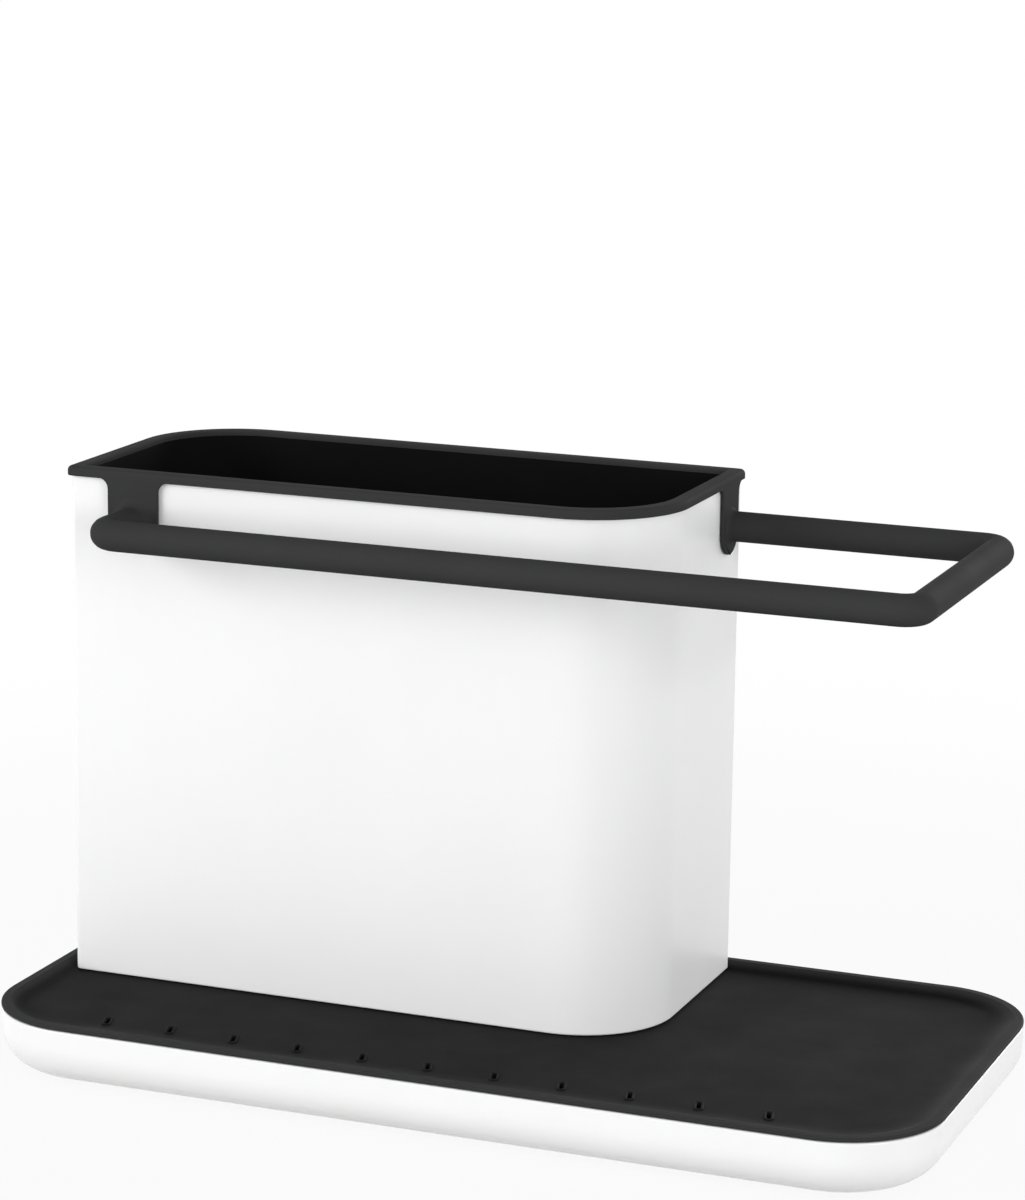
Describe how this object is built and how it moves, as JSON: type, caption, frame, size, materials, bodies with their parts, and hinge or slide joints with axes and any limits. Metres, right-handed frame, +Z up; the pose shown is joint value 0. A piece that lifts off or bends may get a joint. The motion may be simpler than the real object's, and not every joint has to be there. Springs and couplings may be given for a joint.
{
  "type": "sink caddy",
  "caption": "Sink caddy: drained tray, tall lined container with a divider for bottle and brush, and a rim frame with a towel rail.",
  "frame": {"origin": "on the surface that the caddy stands on, under the middle of the tray", "axes": "+X along the tray towards the sponge end, +Y towards the back, +Z up"},
  "size_m": [0.265, 0.132, 0.1602],
  "materials": {
    "tray_white": "glossy moulded white plastic",
    "container_white": "satin moulded white plastic",
    "tray_charcoal": "fine satin moulded charcoal plastic",
    "frame_charcoal": "satin moulded charcoal plastic",
    "liner_charcoal": "matt moulded near-black plastic",
    "foot_rubber": "matt soft grey rubber"
  },
  "bodies": {
    "base": {"base_tray": "tray_white", "foot_front_left": "foot_rubber", "foot_front_right": "foot_rubber", "foot_back_left": "foot_rubber", "foot_back_right": "foot_rubber"},
    "drip_tray": {"drip_tray": "tray_charcoal"},
    "container": {"container": "container_white"},
    "liner": {"inner_liner": "liner_charcoal"},
    "divider": {"divider": "liner_charcoal"},
    "top_frame": {"rim_frame": "frame_charcoal", "towel_rail": "frame_charcoal"}
  },
  "joints": [
    {"name": "tray_lift", "type": "slide", "parent": "base", "child": "drip_tray", "axis": [0, 0, 1], "range_m": [0, 0.03]},
    {"name": "container_lift", "type": "slide", "parent": "drip_tray", "child": "container", "axis": [0, 0, 1], "range_m": [0, 0.04]},
    {"name": "liner_lift", "type": "slide", "parent": "container", "child": "liner", "axis": [0, 0, 1], "range_m": [0, 0.15]},
    {"name": "divider_lift", "type": "slide", "parent": "liner", "child": "divider", "axis": [0, 0, 1], "range_m": [0, 0.15]},
    {"name": "frame_lift", "type": "slide", "parent": "liner", "child": "top_frame", "axis": [0, 0, 1], "range_m": [0, 0.04]}
  ]
}
